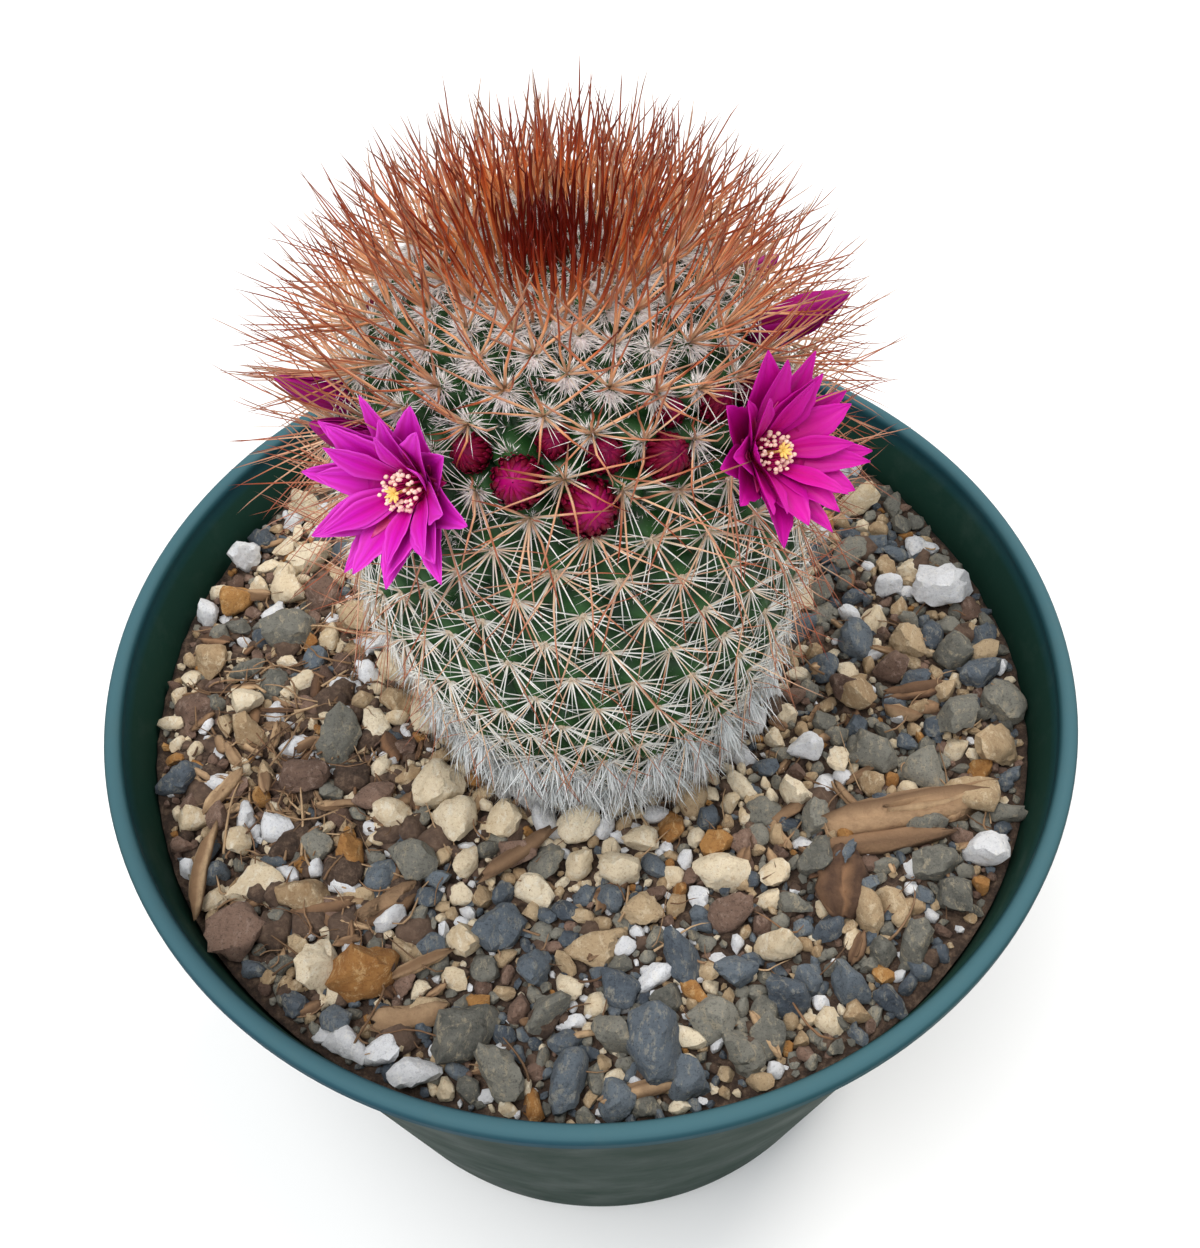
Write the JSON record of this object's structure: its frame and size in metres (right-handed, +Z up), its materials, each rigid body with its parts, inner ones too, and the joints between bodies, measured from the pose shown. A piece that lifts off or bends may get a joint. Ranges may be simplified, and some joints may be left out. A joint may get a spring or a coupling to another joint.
{
  "type": "potted cactus",
  "caption": "Barrel-shaped spiny pincushion cactus with open flowers and a ring of buds, growing in gritty soil in a round tapered plastic pot",
  "frame": {"origin": "centre of the pot's underside, at the plane it stands on", "axes": "+Z up, -Y towards the front of the plant as pictured, +X to the viewer's right"},
  "size_m": [0.152, 0.152, 0.1967],
  "materials": {
    "pot_plastic": "thin moulded plastic, slightly worn",
    "gritty_soil": "loose angular grit, pumice and peat",
    "cactus_skin": "smooth succulent skin under spines",
    "petal": "satin petals",
    "stamen": "powdery anthers",
    "bud_scales": "overlapping waxy scales"
  },
  "bodies": {
    "root": {"pot": "pot_plastic", "soil": "gritty_soil", "stem": "cactus_skin", "flower_left_petals": "petal", "flower_left_stamens": "stamen", "flower_right_petals": "petal", "flower_right_stamens": "stamen", "pointed_bud_right": "petal", "pointed_bud_left": "petal", "pointed_bud_far_left": "petal", "pointed_bud_back_right": "petal", "pointed_bud_back": "petal", "pointed_bud_back_left": "petal", "bud_front": "bud_scales", "bud_front_left": "bud_scales", "bud_front_right": "bud_scales", "bud_upper_left": "bud_scales", "bud_upper_right": "bud_scales", "bud_high_right": "bud_scales", "bud_beside_left": "bud_scales", "bud_beside_right": "bud_scales", "bud_right": "bud_scales", "bud_back_right": "bud_scales", "bud_back_middle": "bud_scales", "bud_back": "bud_scales", "bud_back_left": "bud_scales"}
  },
  "joints": []
}
